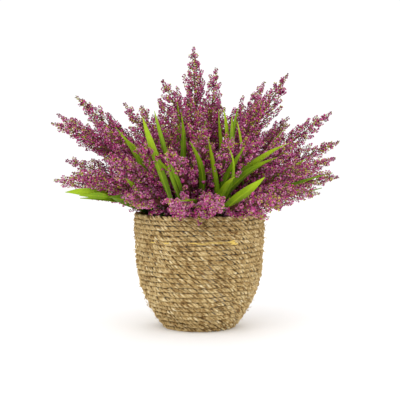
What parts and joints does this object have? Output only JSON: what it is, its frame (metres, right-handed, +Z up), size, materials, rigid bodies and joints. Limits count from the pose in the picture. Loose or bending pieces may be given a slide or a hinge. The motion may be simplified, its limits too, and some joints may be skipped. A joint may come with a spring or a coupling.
{
  "type": "potted heather",
  "caption": "Heather in flower in a round-bottomed seagrass rope basket with liner and soil: tapering purple sprays fanned into a half sphere, with grass-like green blades between.",
  "frame": {"origin": "middle of the basket's flat base, on the surface it stands on", "axes": "+Z up, the pictured front towards -Y"},
  "size_m": [0.3244, 0.2951, 0.3169],
  "materials": {
    "basket_rope": "matte",
    "lining": "matte",
    "soil": "matte",
    "stem": "matte",
    "floret": "matte",
    "leaf": "satin"
  },
  "bodies": {
    "root": {"basket": "basket_rope", "liner": "lining", "soil": "soil", "stems": "stem", "spray_01": "floret", "spray_02": "floret", "spray_03": "floret", "spray_04": "floret", "spray_05": "floret", "spray_06": "floret", "spray_07": "floret", "spray_08": "floret", "spray_09": "floret", "spray_10": "floret", "spray_11": "floret", "spray_12": "floret", "spray_13": "floret", "spray_14": "floret", "spray_15": "floret", "spray_16": "floret", "spray_17": "floret", "spray_18": "floret", "spray_19": "floret", "spray_20": "floret", "spray_21": "floret", "spray_22": "floret", "spray_23": "floret", "spray_24": "floret", "spray_25": "floret", "spray_26": "floret", "spray_27": "floret", "spray_28": "floret", "spray_29": "floret", "spray_30": "floret", "spray_31": "floret", "spray_32": "floret", "spray_33": "floret", "spray_34": "floret", "spray_35": "floret", "spray_36": "floret", "spray_37": "floret", "spray_38": "floret", "spray_39": "floret", "spray_40": "floret", "spray_41": "floret", "spray_42": "floret", "spray_43": "floret", "spray_44": "floret", "leaf_tuft_01": "leaf", "leaf_tuft_02": "leaf", "leaf_tuft_03": "leaf", "leaf_tuft_04": "leaf", "leaf_tuft_05": "leaf", "leaf_tuft_06": "leaf", "leaf_tuft_07": "leaf", "leaf_tuft_08": "leaf", "leaf_tuft_09": "leaf", "leaf_tuft_10": "leaf", "leaf_tuft_11": "leaf", "leaf_tuft_12": "leaf"}
  },
  "joints": []
}
